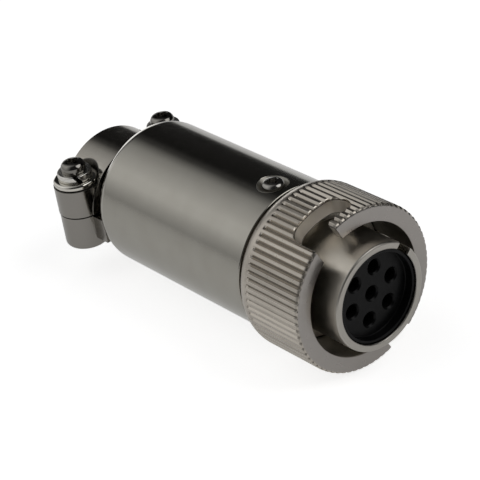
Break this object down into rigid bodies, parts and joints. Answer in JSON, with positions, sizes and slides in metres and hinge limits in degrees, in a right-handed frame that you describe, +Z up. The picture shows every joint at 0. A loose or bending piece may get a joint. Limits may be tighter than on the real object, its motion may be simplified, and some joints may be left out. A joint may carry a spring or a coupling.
{
  "type": "circular connector plug",
  "caption": "Straight round cable plug with a knurled bayonet coupling ring, socket contacts in a black insulator, a plated back shell and a screwed cable clamp.",
  "frame": {"origin": "centre of the barrel's front rim", "axes": "+X along the mating axis, out of the front; +Z up, towards the clamp's screw heads; the clamp's ears lie along Y"},
  "size_m": [0.0646, 0.026, 0.026],
  "materials": {
    "polished_nickel": "polished plating",
    "satin_nickel": "satin plating on turned metal",
    "screw_steel": "plated, cross recess",
    "spring_steel": "bright rolled strip",
    "black_insulator": "moulded, matte",
    "gilt_contact": "plated, bright"
  },
  "bodies": {
    "plug": {"plug_barrel": "satin_nickel", "front_insulator": "black_insulator", "rear_insulator": "black_insulator", "insulator_nut": "satin_nickel", "contact_1": "gilt_contact", "contact_2": "gilt_contact", "contact_3": "gilt_contact", "contact_4": "gilt_contact", "contact_5": "gilt_contact", "contact_6": "gilt_contact", "contact_7": "gilt_contact", "wave_spring": "spring_steel", "snap_ring": "spring_steel", "back_shell": "polished_nickel", "set_screw": "screw_steel", "clamp_base": "satin_nickel"},
    "thrust_washer": {"thrust_washer": "spring_steel"},
    "coupling_ring": {"coupling_ring": "satin_nickel"},
    "clamp_saddle": {"clamp_saddle": "satin_nickel", "clamp_screws": "screw_steel", "lock_washers": "screw_steel", "flat_washers": "polished_nickel"}
  },
  "joints": [
    {"name": "ring_push", "type": "slide", "parent": "plug", "child": "thrust_washer", "axis": [1, 0, 0], "range_m": [0, 0.0008], "stiffness_N_per_m": 1500, "springref_m": -0.002, "deforming": ["wave_spring"]},
    {"name": "ring_turn", "type": "hinge", "parent": "thrust_washer", "child": "coupling_ring", "pos_m": [-0.01, 0, 0], "axis": [1, 0, 0], "continuous": true},
    {"name": "clamp_open", "type": "slide", "parent": "plug", "child": "clamp_saddle", "axis": [0, 0, 1], "range_m": [0, 0.0025]}
  ]
}
